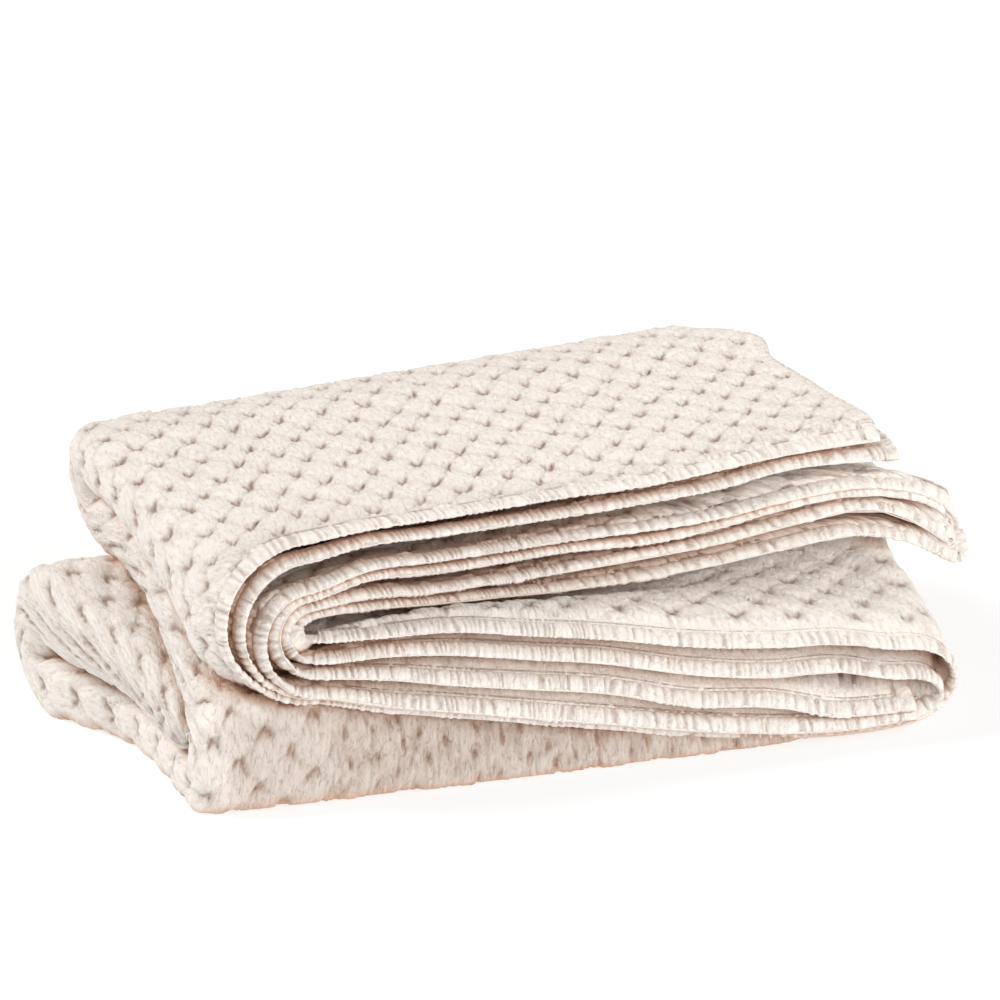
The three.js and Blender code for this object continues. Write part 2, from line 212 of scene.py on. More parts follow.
# Each level of doubled cloth from the top one down: its hem's distance from the front at the left and at
# the right, how far back it gapes, and whether the cloth's outer half is its upper layer (1) or not (-1).
LEVEL_HEMS = [
    (-2, 78, 170, 1),
    (-2, 78, 150, 1),
    (-2, 76, 130, -1),
    (0, -14, 75, 1),
    (-2, -16, 75, -1),
    (3, -10, 75, -1),
]
HEM_SPAN = 400
HEM_LONGEST = 1.15  # where the hems' lines stop turning, as a part of that span

# The way through the levels, to the left (-1) or to the right (1), and the turn after each of them: its
# side, its place and bulge at the front, the room between its layers there, and its place and bulge at
# the back.
ROUTE = [(0, -1), (5, 1), (3, -1), (2, 1), (1, -1), (4, 1)]
OUTER_LEFT = (-1, 61, 41, 9, 14, 15)
APRON_TURN = (1, 358, 27, 8, 358, 8)
INNER_LEFT = (-1, 61, 11, 6, 14, 3.5)
NOSE_TURN = (1, 419, 14, 7, 360, 3.5)
MIDDLE_LEFT = (-1, 61, 23, 7, 14, 9)
TURNS = [OUTER_LEFT, APRON_TURN, INNER_LEFT, NOSE_TURN, MIDDLE_LEFT]
TURN_STEPS = 10
TURN_MARGIN = 4
MIDWAY = [90, 125, 165, 205, 250, 290, 325]

# The cloth's two end hems and the root of the loose nose: where each lies at the front of the upper bundle,
# at its back, and in the folds below. The top level's two halves end a little apart.
FIRST_END = (389, 365, 348)
FIRST_APART = 6
LAST_END = (366, 370, 346)
NOSE_ROOT = (384, 352, 352)

# The nose of the second and third levels sags from its root on, its lower layers more than its upper ones.
NOSE_LEVELS = (1, 2)
NOSE_LENGTH = 48
NOSE_LONGEST = 1.3
NOSE_SAG = 22
NOSE_FULLER = 8
NOSE_APART = 3
NOSE_POWER = 1.6

# The top level's right end stands up a little, the apron is filled out, and the low left lobe puffs up.
END_RISE = {"shoulder": 3.5, "brow": 5, "slope": 2.5}
END_RISE_FROM = 320
END_RISE_OVER = 55
APRON_FILLED = {"shoulder": 10, "brow": 20, "slope": 22, "middle": 15, "rear": 6}
LOBE_RISE = 12
LOBE_FROM = 30
LOBE_OVER = 80

# Each layer droops towards its hem, the high ones more, and its hem lies a little lower still.
DROOP = 4.5
DROOP_LENGTH = 14
DROOP_LEAST = 0.35
DROOP_MOST = 1.3
DROOP_HEIGHT = 125
HEM_LOW = 1.2

# Distance from the front of lines across the pile: the closed front's foot and how far it leans back.
FRONT_X = [0, 60, 120, 200, 290, 400]
FRONT_LEAN = [0, 7, 24, 38, 58, 68]
FRONT_FOOT = [-2, -5, -9, -11, -13, 0]

# Sections across the bundle on its way in depth: the run, the place in it, how far it is pressed, and
# how far the left and the right ends of its levels are moved.
SECTIONS = [
    ("upper", "hem", 0, 0, 0),
    ("upper", "shoulder", 0.12, 0, -8),
    ("upper", "brow", 0.35, 0, -12),
    ("upper", "slope", 0.55, 0, -9),
    ("upper", "middle", 0.75, 0, -6),
    ("upper", "rear", 0.9, 0, -4),
    ("upper", "back", 1, 0, -2),
    ("over", 0.14, 1, 0, -2),
    ("over", 0.32, 1, 0.5, -1.5),
    ("over", 0.5, 1, 2, 0),
    ("over", 0.68, 1, 3.5, -1.5),
    ("over", 0.86, 1, 4.5, -3),
    ("second", "back", 1, 5, -4),
    ("second", "rear", 1, 7.5, -4),
    ("second", "middle", 1, 10, -4),
    ("second", "slope", 1, 8.5, -6),
    ("wrap", 0, 1, 6, -8),
    ("wrap", 0.11, 1, 4.5, -9),
    ("wrap", 0.22, 1, 3, -10),
    ("wrap", 0.36, 1, 2.5, -10),
    ("wrap", 0.5, 1, 2, -10),
    ("wrap", 0.64, 1, 1.5, -10),
    ("wrap", 0.78, 1, 1, -10),
    ("wrap", 0.89, 1, 1, -10),
    ("wrap", 1, 1, 1, -10),
    ("bottom", "middle", 1, -8, -4),
    ("bottom", "rear", 1, -20, -2),
    ("bottom", "back", 1, -32, 0),
    ("under", 0.14, 1, -34, 0),
    ("under", 0.32, 1, -36, 1),
    ("under", 0.5, 1, -38, 2),
    ("under", 0.68, 1, -38, 1),
    ("under", 0.86, 1, -38, 0),
    ("third", "back", 1, -38, 0),
    ("third", "rear", 1, -29, -2),
    ("third", "middle", 1, -17, -4),
    ("third", "end", 1, 1, -8),
]

# The sections at which one run of the bundle ends, and how round the turns are in each run, 1 for a circle.
RUN_ENDS = [
    ("upper", "back"),
    ("second", "back"),
    ("wrap", 0),
    ("wrap", 1),
    ("bottom", "back"),
    ("third", "back"),
]
FULLNESS = {
    "upper": 0.8,
    "over": 0.8,
    "second": 0.8,
    "wrap": 0.55,
    "bottom": 0.55,
    "under": 0.7,
    "third": 0.8,
}


def mix(a, b, part):
    """The value a part of the way from a to b."""
    return a + (b - a) * part


def within(value, low=0.0, high=1.0):
    """The value kept between two limits."""
    return min(high, max(low, value))


def fuller(value, fullness):
    """A sine or cosine drawn outwards, so that what turns by it has a fuller shape than a circle."""
    return math.copysign(abs(value) ** fullness, value)


def hem_line(level, x):
    """Distance of a level's hem from the front."""
    left, right_end = LEVEL_HEMS[level][:2]
    return mix(left, right_end, within(x / HEM_SPAN, 0, HEM_LONGEST))


def brow_line(x):
    """Distance of the closed front's upper edge from the front."""
    return float(np.interp(x, FRONT_X, FRONT_FOOT) + np.interp(x, FRONT_X, FRONT_LEAN)) + WALL_DEPTH


def across_at(line, x):
    """Distance of a straight line across the pile from the front."""
    return line[0] + line[1] * x


def wall_height(x):
    """Height of the closed front, whose left corner is drawn up a little."""
    return WALL_HEIGHT + CORNER_RISE * within(1 - x / CORNER_REACH) ** CORNER_POWER


def lower_top(x, y):
    """Top of the lower bundles behind the closed front."""
    part = within((y - brow_line(x)) / (across_at(UPPER_BACK, x) - brow_line(x)))
    return mix(wall_height(x), BACK_HEIGHT, 1 - (1 - part) ** TOP_POWER)


def press(x, y):
    """How closely the layers lie, closer at the closed front than at the back."""
    return mix(FRONT_PRESS, 1, within((y - brow_line(x)) / (across_at(LOWER_BACK, x) - brow_line(x))))


def wall_point(x, turned, inside):
    """The closed front from its brow (0) round its face to its foot (1), a distance inside its outside."""
    angle = math.pi * turned
    full = FOOT_ROUND if turned > 0.5 else BROW_ROUND
    half = wall_height(x) / 2
    inset = inside * FRONT_PRESS
    z = half + (half - inset) * fuller(math.cos(angle), full)
    line = mix(float(np.interp(x, FRONT_X, FRONT_FOOT)) + WALL_DEPTH, brow_line(x), z / wall_height(x))
    return line - (WALL_DEPTH - inset * FACE_PRESS) * fuller(math.sin(angle), full), z


def shoulder_line(level, x):
    """Distance of the line from the front at which a level comes to lie on the closed front."""
    return max(wall_point(x, SHOULDER_AT, 0)[0] - SHOULDER_BEFORE, hem_line(level, x) + SHOULDER_BEHIND_HEM)


def hem_height(rank, x):
    """Height of a layer's hem, its rank counted from the lowest layer."""
    return float(np.interp(x, PLACES, HEMS_UP[max(rank - 2, 0)])) - UNDER_LAST * max(2 - rank, 0)


def carrying(x, y):
    """Height of what the upper bundle's lowest layer follows."""
    lowest = LEVELS - 1
    hem = hem_line(lowest, x)
    hem_z = hem_height(0, x)
    low = max(wall_point(x, SHOULDER_AT, 0)[1] + CLEAR, hem_z)
    shoulder = shoulder_line(lowest, x)
    if y < shoulder:
        return mix(hem_z, low, within((y - hem) / (shoulder - hem)))
    if y < brow_line(x):
        return mix(low, max(low, wall_height(x) + CLEAR), (y - shoulder) / (brow_line(x) - shoulder))
    return lower_top(x, y) + CLEAR


def looseness(rank, x, y):
    """How far a layer still gapes from the one below it, 1 at its hem and 0 where it is pressed."""
    level = LEVELS - 1 - rank // 2
    return within(1 - (y - hem_line(level, x)) / LEVEL_HEMS[level][2]) ** LOOSE_POWER


gap_tables = {}


def gaps_at(x):
    """The gaps below the layers at their hems, so that every hem has its height."""
    if x not in gap_tables:
        gaps = [0]
        for rank in range(1, 2 * LEVELS):
            y = hem_line(LEVELS - 1 - rank // 2, x)
            below = sum(mix(PITCH, gaps[q], looseness(q, x, y)) for q in range(1, rank))
            gaps.append(hem_height(rank, x) - carrying(x, y) - below)
        gap_tables[x] = gaps
    return gap_tables[x]


def layer_height(rank, x, y):
    """Height of a layer of the upper bundle."""
    gaps = gaps_at(x)
    return carrying(x, y) + sum(mix(PITCH, gaps[q], looseness(q, x, y)) for q in range(1, rank + 1))


def level_point(level, x, run, at, side):
    """Distance from the front and height of one half of the doubled cloth, on a level of the bundle."""
    up = LEVEL_HEMS[level][3] * side
    inside = (LEVELS - 1 - level) * 2 * PITCH + LOWEST + up * PITCH / 2
    rank = 2 * (LEVELS - 1 - level) + (up > 0)
    middle, upper_back, back = (across_at(line, x) for line in (MIDDLE, UPPER_BACK, LOWER_BACK))
    if run == "upper":
        brow = max(brow_line(x), hem_line(level, x) + BROW_BEHIND_HEM)
        y = {
            "hem": hem_line(level, x),
            "shoulder": shoulder_line(level, x),
            "brow": brow,
            "slope": mix(brow, middle, SLOPE_AT),
            "middle": middle,
            "rear": mix(middle, upper_back, 0.5),
            "back": upper_back,
        }[at]
        return y, layer_height(rank, x, y)
    if run == "over":
        bulge = mix(*BACK_BULGE, within(x / HEM_SPAN))
        rise = CLEAR / 2 + inside + PITCH / 4
        y = upper_back + rise * bulge * math.sin(math.pi * at)
        return y, BACK_HEIGHT + CLEAR / 2 + rise * math.cos(math.pi * at)
    if run == "second":
        slope = mix(wall_point(x, 0, inside)[0], middle, 0.5)
        y = {"back": upper_back, "rear": mix(middle, upper_back, 0.5), "middle": middle, "slope": slope}[at]
        return y, lower_top(x, y) - inside * press(x, y) - PITCH / 4
    if run == "wrap":
        return wall_point(x, at, inside)
    if run == "bottom":
        y = {"middle": middle, "rear": mix(middle, back, 0.5), "back": back}[at]
        return y, inside * press(x, y)
    radius = INNER_TURN - inside
    if run == "under":
        return back + radius * math.sin(math.pi * at), INNER_TURN - radius * math.cos(math.pi * at)
    end = min(brow_line(x) + END_TUCK, middle - END_BEFORE_MIDDLE) - END_FORWARD * within(1 - x / END_REACH)
    y = {"back": back, "rear": mix(middle, back, 0.5), "middle": middle, "end": end}[at]
    return y, INNER_TURN * press(x, y) + radius * mix(END_PRESS, 1, (y - end) / (back - end))


def pile_point(station, section, side):
    """Where a station of the cloth's route lies in a section of the bundle, in mm from the corner."""
    run, at, pressed, left_move, right_move = section

    def line_at(front, back, folded, pressed=pressed):
        return mix(front, back if run == "upper" else folded, pressed)

    level, following, turn, part = station
    if turn is None:
        x = part
        if following == NOSE_ROOT:
            x = line_at(*NOSE_ROOT) + right_move
        if following == LAST_END:
            x = line_at(*LAST_END)
        if following == FIRST_END:
            x = line_at(*FIRST_END, pressed**8) - side * FIRST_APART * (1 - pressed)
        lower = level == NOSE_LEVELS[-1]
        y, z = level_point(level, x, run, at, side)
    else:
        hand, front_x, reach, spread, back_x, back_reach = turn
        middle = line_at(front_x, back_x, back_x) + (left_move if hand < 0 else right_move)
        if turn is APRON_TURN and run == "upper":
            middle += APRON_FILLED.get(at, 0)
        outward = LEVEL_HEMS[level][3] * (1 if level < following else -1)
        opened = side * mix((spread - PITCH) / 2, 0, pressed)
        bulge = mix(reach, back_reach, pressed ** (2 if turn is APRON_TURN else 1))
        bulge += outward * (side * PITCH / 2 + opened)
        y_from, z_from = level_point(level, middle, run, at, side)
        y_to, z_to = level_point(following, middle, run, at, side)
        full = mix(1, FULLNESS[run], pressed)
        blend = (1 - fuller(math.cos(math.pi * part), full)) / 2
        x = middle + hand * bulge * fuller(math.sin(math.pi * part), full)
        y, z = mix(y_from, y_to, blend), mix(z_from, z_to, blend)
        lower = 1 - blend
    if turn is not None and run in ("under", "third"):
        z += LOBE_RISE * within(z / INNER_TURN - 1) * within((y - LOBE_FROM) / LOBE_OVER)
    if level in NOSE_LEVELS:
        sag = NOSE_SAG + (NOSE_FULLER - NOSE_APART * side) * lower
        z -= sag * within((x - NOSE_ROOT[0]) / NOSE_LENGTH, 0, NOSE_LONGEST) ** NOSE_POWER * (1 - pressed)
    if run == "upper" and level == 0:
        z += END_RISE.get(at, 0) * within((x - END_RISE_FROM) / END_RISE_OVER)
    return x, y, z * SETTLED


def route_stations():
    """Stations of the doubled cloth's route: (level, end line or next level, turn, part or x)."""
    stations = [(ROUTE[0][0], FIRST_END, None, 0)]
    for i, (level, towards) in enumerate(ROUTE):
        sections = [(level, None, None, x) for x in MIDWAY]
        if level in NOSE_LEVELS:
            sections.append((level, NOSE_ROOT, None, 0))
        stations += sections if towards > 0 else sections[::-1]
        if i < len(TURNS):
            following = ROUTE[i + 1][0]
            steps = range(TURN_STEPS + 1)
            stations += [(level, following, TURNS[i], step / TURN_STEPS) for step in steps]
    return stations + [(ROUTE[-1][0], LAST_END, None, 0)]


stations = route_stations()
net = {}
for side in (1, -1):
    net[side] = np.array([[pile_point(station, row, side) for row in SECTIONS] for station in stations])

# Distances along the cloth agree between its two halves and between all the net's lines at these marks: the
# middle of each level on the way through the levels, and the ends of the runs on the way in depth.
MIDWAY_MARK = 205
anchors = [i for i, station in enumerate(stations) if station[2] is None and station[3] == MIDWAY_MARK]
runs = [i for i, row in enumerate(SECTIONS) if row[:2] in RUN_ENDS]
route_marks = [0, *anchors, len(stations) - 1]
depth_marks = [0, *runs, len(SECTIONS) - 1]


def lengths(points, axis):
    """Lengths along the net's lines up to each of its points."""
    steps = np.linalg.norm(np.diff(points, axis=axis), axis=2)
    return np.cumsum(np.pad(steps, [(1 - axis, 0), (axis, 0)]), axis=axis)


def shared_places(lengths, common, marks):
    """Lengths along lines, drawn out so that all the lines agree at the marks."""
    places = np.empty_like(lengths)
    for a, b in zip(marks[:-1], marks[1:]):
        share = (lengths[a : b + 1] - lengths[a]) / (lengths[b] - lengths[a])
        places[a : b + 1] = common[a] + share * (common[b] - common[a])
    return places


along = {side: lengths(net[side], 0) for side in net}
inward = {side: lengths(net[side], 1) for side in net}
ROUTE_AT = (along[1] + along[-1]).mean(axis=1) / 2
DEPTH_AT = (inward[1] + inward[-1]).mean(axis=0) / 2
place_along = {side: shared_places(along[side], ROUTE_AT, route_marks) for side in net}
place_inward = {side: shared_places(inward[side].T, DEPTH_AT, depth_marks).T for side in net}
cloth_lines = {}
for side in net:
    true = place_along[side].copy()
    for a, b, keep in ((0, anchors[0], anchors[0]), (anchors[-1], len(stations) - 1, anchors[-1])):
        true[a : b + 1] = ROUTE_AT[keep] + along[side][a : b + 1] - along[side][keep]
    cloth_lines[side] = np.dstack([net[side], true, inward[side], place_inward[side]])


def drawn(knots, values, at):
    """A smooth line through values at their knots, read at other places."""
    gap = np.diff(knots)[:, None]
    slope = np.diff(values, axis=0) / gap
    between = (slope[:-1] * gap[1:] + slope[1:] * gap[:-1]) / (gap[1:] + gap[:-1])
    tangent = np.concatenate([slope[:1], between, slope[-1:]])
    i = np.clip(np.searchsorted(knots, at, side="right") - 1, 0, len(knots) - 2)
    h = gap[i]
    f = (at - knots[i])[:, None] / h
    start = values[i] * (2 * f**3 - 3 * f**2 + 1) + tangent[i] * h * (f**3 - 2 * f**2 + f)
    return start + values[i + 1] * (3 * f**2 - 2 * f**3) + tangent[i + 1] * h * (f**3 - f**2)


def lie(side, route, depth):
    """Rows of points of one half of the cloth, with their distances along the hem and in from it, in mm."""
    lines = cloth_lines[side].swapaxes(0, 1)
    rows = np.array([drawn(knots, line, route) for knots, line in zip(place_along[side].T, lines)])
    laid = np.array([drawn(column[:, 5], column[:, :5], depth) for column in rows.swapaxes(0, 1)])
    laid = laid.swapaxes(0, 1)
    behind = np.maximum(laid[:, :, 4], 0) / DROOP_LENGTH
    droop = DROOP * np.clip(DROOP_LEAST + laid[:, :, 2] / DROOP_HEIGHT, DROOP_LEAST, DROOP_MOST)
    laid[:, :, 2] += droop * behind * np.exp(1 - behind) - HEM_LOW * np.exp(-behind)
    return laid


def turn_span(turn):
    """Where a turn begins and ends along the route, in all sections of both halves."""
    inside = [i for i, station in enumerate(stations) if station[2] is turn]
    start = min(place_along[side][inside[0]].min() for side in net)
    end = max(place_along[side][inside[-1]].max() for side in net)
    return start - TURN_MARGIN, end + TURN_MARGIN


def spaced(knots, step):
    """Places at every knot and between knots, no further apart than a step."""
    stretches = []
    for a, b in zip(knots[:-1], knots[1:]):
        stretches.append(np.linspace(a, b, max(1, math.ceil((b - a) / step)), endpoint=False))
    return np.append(np.concatenate(stretches), knots[-1])


def lay_grid(name, points, uv=None, **attributes):
    """A cloth grid whose vertices are laid on rows of points, given in mm from the pile's corner."""
    rows, columns = points.shape[:2]
    grid = bmesh.new()
    bmesh.ops.create_grid(grid, x_segments=columns - 1, y_segments=rows - 1, size=0.5)
    mesh = bpy.data.meshes.new(name)
    grid.to_mesh(mesh)
    grid.free()
    flat = np.empty(len(mesh.vertices) * 3)
    mesh.vertices.foreach_get("co", flat)
    place = np.rint((flat.reshape(-1, 3)[:, :2] + 0.5) * (columns - 1, rows - 1)).astype(int)
    laid = (points[place[:, 1], place[:, 0]] + np.array(CORNER)) * MM
    mesh.vertices.foreach_set("co", laid.ravel())
    for key, values in attributes.items():
        layer = mesh.attributes.new(key, "FLOAT", "POINT")
        layer.data.foreach_set("value", values[place[:, 1], place[:, 0]].astype(np.float32))
    if uv is not None:
        corners = np.empty(len(mesh.loops), dtype=np.int32)
        mesh.loops.foreach_get("vertex_index", corners)
        layer = mesh.uv_layers.new(name="cloth")
        layer.data.foreach_set("uv", (uv[place[:, 1], place[:, 0]] * MM)[corners].astype(np.float32).ravel())
    mesh.shade_smooth()
    mesh.update()
    piece = bpy.data.objects.new(name, mesh)
    bpy.context.collection.objects.link(piece)
    return piece


# The sheet itself has coarse steps on its levels and finer ones round its turns.
LEVEL_STEP = 16
TURN_STEP = 5
DEPTH_STEP = 12
left_span, apron_span, inner_span, nose_span, middle_span = (turn_span(turn) for turn in TURNS)
all_depth = DEPTH_AT[-1]
route_end = ROUTE_AT[-1]
ends = [0, *left_span, *apron_span, *inner_span, *nose_span, *middle_span, route_end]
route = []
for i, (a, b) in enumerate(zip(ends[:-1], ends[1:])):
    step = TURN_STEP if i % 2 else LEVEL_STEP
    route.append(np.linspace(a, b, math.ceil((b - a) / step), endpoint=False))
route = np.append(np.concatenate(route), route_end)
depth = spaced(DEPTH_AT, DEPTH_STEP)
outer = lie(1, route, depth)[:, :, :3]
inner = lie(-1, route, depth)[:, :, :3]
crests = []
for angle in np.radians([45, 90, 135]):
    crest = mix(outer[-1], inner[-1], (1 - math.cos(angle)) / 2)
    crest[:, 1] -= PITCH / 2 * math.sin(angle)
    crests.append(crest)
whole = np.concatenate([outer, crests, inner[::-1]])
whole[:, :, 2] = np.maximum(whole[:, :, 2], CLOTH)
in_cloth = np.dstack(np.meshgrid(route, np.arange(len(whole)) * DEPTH_STEP))
cloth = lay_grid("folded_cloth", whole, in_cloth, pit=np.zeros(whole.shape[:2]))
thickness = cloth.modifiers.new("cloth_thickness", "SOLIDIFY")
thickness.thickness = CLOTH * MM
thickness.offset = 0
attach(cloth, "root")
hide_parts("coverlet")

# Washed matelasse cotton: a soft, matt, creamy off-white double cloth, with warm painted shade in the
# stitched pits, creases and gathers where it is drawn together, and warm painted shade again from ambient
# occlusion deep between the layers. Its crinkles run in from the hem, about 2 mm apart, with painted shade
# along their valleys, and its plain weave of 0.6 mm threads is drawn three times as coarse as it is, so that
# it shows as a slight roughness.
THREAD = 0.6
DRAWN_COARSER = 3
CRINKLE = 2.3
CRINKLE_DEPTH = 1.6
WEAVE_DEPTH = 0.5
SHADE_REACH = 14
cotton, tree = new_material("washed_matelasse_cotton")
place = add_node(tree, "ShaderNodeTexCoord")
# Painted shade that each face and hem carries, 0 to 1: in pits, creases, gathers and rib valleys, at the low
# front and behind hems.
pit = add_node(tree, "ShaderNodeAttribute", {"attribute_name": "pit"})
cloud = add_node(tree, "ShaderNodeTexNoise", Vector=place.outputs["Object"], Scale=14.0, Detail=2.0)
base = add_node(tree, "ShaderNodeMix", {"data_type": "RGBA"}, Factor=cloud.outputs[0])
base.inputs[6].default_value = (*to_linear("#F4EEE8"), 1)
base.inputs[7].default_value = (*to_linear("#F0E8E0"), 1)
crinkles_per_metre = 1 / (CRINKLE * MM)
stretch = add_node(
    tree, "ShaderNodeMapping", Vector=place.outputs["UV"],
    Scale=(crinkles_per_metre, crinkles_per_metre / 2, 1),
)
crinkle = add_node(
    tree, "ShaderNodeTexNoise", Vector=stretch.outputs[0], Scale=1.0, Detail=4.0, Roughness=0.6,
    Distortion=0.7,
)
# Painted shade along the crinkles' valleys, up to 0.26, added to the painted shade above.
lines = add_node(
    tree, "ShaderNodeMapRange", Value=crinkle.outputs[0], From_Min=0.48, From_Max=0.3, To_Max=0.26,
)
share = add_node(
    tree, "ShaderNodeMath", {"operation": "MULTIPLY_ADD", "use_clamp": True},
    _0=pit.outputs["Fac"], _1=0.75, _2=lines.outputs[0],
)
# The painted shade mixes the cloth towards a dark warm brown.
painted_shade_mix = add_node(tree, "ShaderNodeMix", {"data_type": "RGBA"}, Factor=share.outputs[0], _6=base.outputs[2])
painted_shade_mix.inputs[7].default_value = (*to_linear("#80593C"), 1)
# Painted warm shade from ambient occlusion: where the cloth is hemmed in within SHADE_REACH, its colour goes
# towards warm brown.
hollow = add_node(tree, "ShaderNodeAmbientOcclusion", {"samples": 4}, Distance=SHADE_REACH * MM)
occlusion_shade_share = add_node(
    tree, "ShaderNodeMapRange", Value=hollow.outputs["AO"], From_Min=0.58, From_Max=0.12, To_Max=0.75,
)
occlusion_shade_mix = add_node(tree, "ShaderNodeMix", {"data_type": "RGBA"}, Factor=occlusion_shade_share.outputs[0], _6=painted_shade_mix.outputs[2])
occlusion_shade_mix.inputs[7].default_value = (*to_linear("#D09C72"), 1)
folds = add_node(
    tree, "ShaderNodeBump", Strength=1.0, Distance=CRINKLE_DEPTH * MM, Height=crinkle.outputs[0],
)
threads_per_metre = 1 / (THREAD * DRAWN_COARSER * MM)
weave = add_node(
    tree, "ShaderNodeTexNoise", Vector=place.outputs["Object"], Scale=threads_per_metre, Detail=3.0,
)
bump = add_node(
    tree, "ShaderNodeBump", Strength=0.4, Distance=WEAVE_DEPTH * MM, Height=weave.outputs[0],
    Normal=folds.outputs[0],
)
shader = add_node(
    tree,
    "ShaderNodeBsdfPrincipled",
    Base_Color=occlusion_shade_mix.outputs[2],
    Roughness=0.95,
    Normal=bump.outputs[0],
    Sheen_Weight=0.15,
    Sheen_Roughness=0.6,
)
add_node(tree, "ShaderNodeOutputMaterial", Surface=shader.outputs[0])
cloth.data.materials.append(cotton)

# The quilted faces.
# The cloth's two layers are joined by small stitched windows in staggered rows, 26.5 mm apart along the
# hem in rows of 12.9 mm, and washing has drawn it together into oval puffs with puckered pits between them.
REPEAT = 26.5
ROW = 12.9
GATHER = 4  # from one gather of the stitching to the next
HEM_SEAM = 8  # distance of the first row from the edge of the cloth
PUFF = 2.1  # height of the puffs
PIT = 1.5  # depth of the pits, and how far they reach along the hem and in from it
PIT_ALONG = 1.1
PIT_INWARD = 2.3
PUCKER = 0.55  # height of the puckers round the pits, and how far from a pit they lie
PUCKER_REACH = 5
CREASE = 0.7  # depth of the fine creases
CREST = 1.3  # height of the sharp crests on the closed front
STEP = 1.3  # between the points of the finest faces
FLOOR_GAP = 0.3  # the lowest points' height above the floor
EDGE_SUNK = 0.3  # how far a face's edge lies under the sheet's middle
RAISED = 0.85  # and how far the face is raised inside its border
BORDER = 5
OVERLAP = 2  # how far a face runs on under the next one
FAR_OFF = 99  # such an edge counts as this much further away
SEEDS = {1: 20, -1: 60}  # the cloth's unevenness, in its outer and in its inner half
CELLS = 64  # the unevenness repeats after so many swells


def uneven(a, b, seed):
    """Smooth unevenness from -1 to 1, with one swell to each unit of a and of b."""
    table = np.random.RandomState(seed).uniform(-1, 1, (CELLS, CELLS))
    i, j = np.floor(a).astype(int), np.floor(b).astype(int)
    f, g = a - i, b - j
    f, g = f * f * (3 - 2 * f), g * g * (3 - 2 * g)
    i, j, next_i, next_j = i % CELLS, j % CELLS, (i + 1) % CELLS, (j + 1) % CELLS
    near = mix(table[i, j], table[next_i, j], f)
    far = mix(table[i, next_j], table[next_i, next_j], f)
    return mix(near, far, g)


def gathers(along, across, seed):
    """Narrow valleys drawn together by the stitching, about 4 mm apart along the hem, from 0 to 1 deep."""
    way = along / GATHER + 1.1 * uneven(along / 12, across / 15, seed)
    way = way + 0.4 * uneven(along / 4, across / 7, seed + 1)
    own = 0.55 + 0.45 * uneven(np.rint(way), across / 12, seed + 2)
    return own * np.abs(np.cos(math.pi * way)) ** 3.5


def quilting(u, v, seed, ridges):
    """Height of the quilting in mm, the painted shade of each place in its pits, creases and gathers, up to
    1, and how far it is on a puff, up to 1.

    With ridges, a window's two pits stand further apart and upright, and sharp crests run in from the hem.
    """
    drawn_in = gathers(u, v, seed)
    at_hem = np.exp(-np.abs(v - 9) / 10)
    u = u + 3 * uneven(u / 19, v / 16, seed) + 0.7 * uneven(u / 6, v / 6, seed + 1)
    v = v + 2 * uneven(u / 17, v / 15, seed + 2) + 0.5 * uneven(u / 5, v / 5, seed + 8) - HEM_SEAM
    a, b = 2 * u / REPEAT, v / ROW
    sunk = (1 + np.cos(math.pi * a) * np.cos(math.pi * b)) / 2
    pillow = np.abs(np.sin(math.pi * (a - b) / 2) * np.sin(math.pi * (a + b) / 2))
    crisp = 0.35 + 0.35 * uneven(a * 0.9, b * 0.9, seed + 9)
    puff = crisp * pillow**0.4 + (1 - crisp) * (1 - sunk**1.5) ** 0.6
    p, q = np.rint((a + b) / 2), np.rint((a - b) / 2)
    from_u = (a - p - q) * REPEAT / 2
    from_v = (b - p + q) * ROW
    cell = np.random.RandomState(seed + 3).uniform(-1, 1, (6, CELLS, CELLS))
    own = cell[:, p.astype(int) % CELLS, q.astype(int) % CELLS]
    pits = 0
    apart, lean = 1.6 + 5.3 * ridges, 0.5 - 0.7 * ridges
    for k, (hand, dark) in enumerate(((-1, 1.25), (1, 1.05))):
        dv = from_v - 1.2 * own[3 * k]
        du = from_u - hand * (apart + lean * dv) - own[3 * k + 1]
        hole = np.exp(-((du / PIT_ALONG) ** 2) - (dv / PIT_INWARD) ** 2)
        pits = pits + dark * (1 + 0.35 * own[3 * k + 2]) * hole
    ring = np.exp(-(((np.hypot(from_u, from_v) - PUCKER_REACH) / 3) ** 2))
    pucker = np.cos(8 * np.arctan2(from_v, from_u) + 3 * own[0]) * ring
    height = 0.5 + PUFF * puff * (1 + 0.25 * uneven(a, b, seed + 4)) - PIT * pits + PUCKER * pucker
    height = height - CREASE * (1 - np.abs(uneven(u / 4.5, v / 7, seed + 10))) ** 6
    height = height + CREST * ridges * pillow * (1 - np.abs(uneven(u / 2.9, v / 11, seed + 12))) ** 7
    height = height - (0.2 + 1.1 * at_hem + ridges) * drawn_in + 0.25 * uneven(u / 6, v / 6, seed + 6)
    # Painted shade: darker in the pits, along the creases between the puffs and in the gathers.
    painted_shade_tone = 1.3 * pits + 0.2 * (1 - pillow) ** 6 + 0.6 * (0.1 + at_hem + ridges) * drawn_in
    return np.maximum(height, 0.1) - 0.15, np.clip(painted_shade_tone, 0, 1), pillow


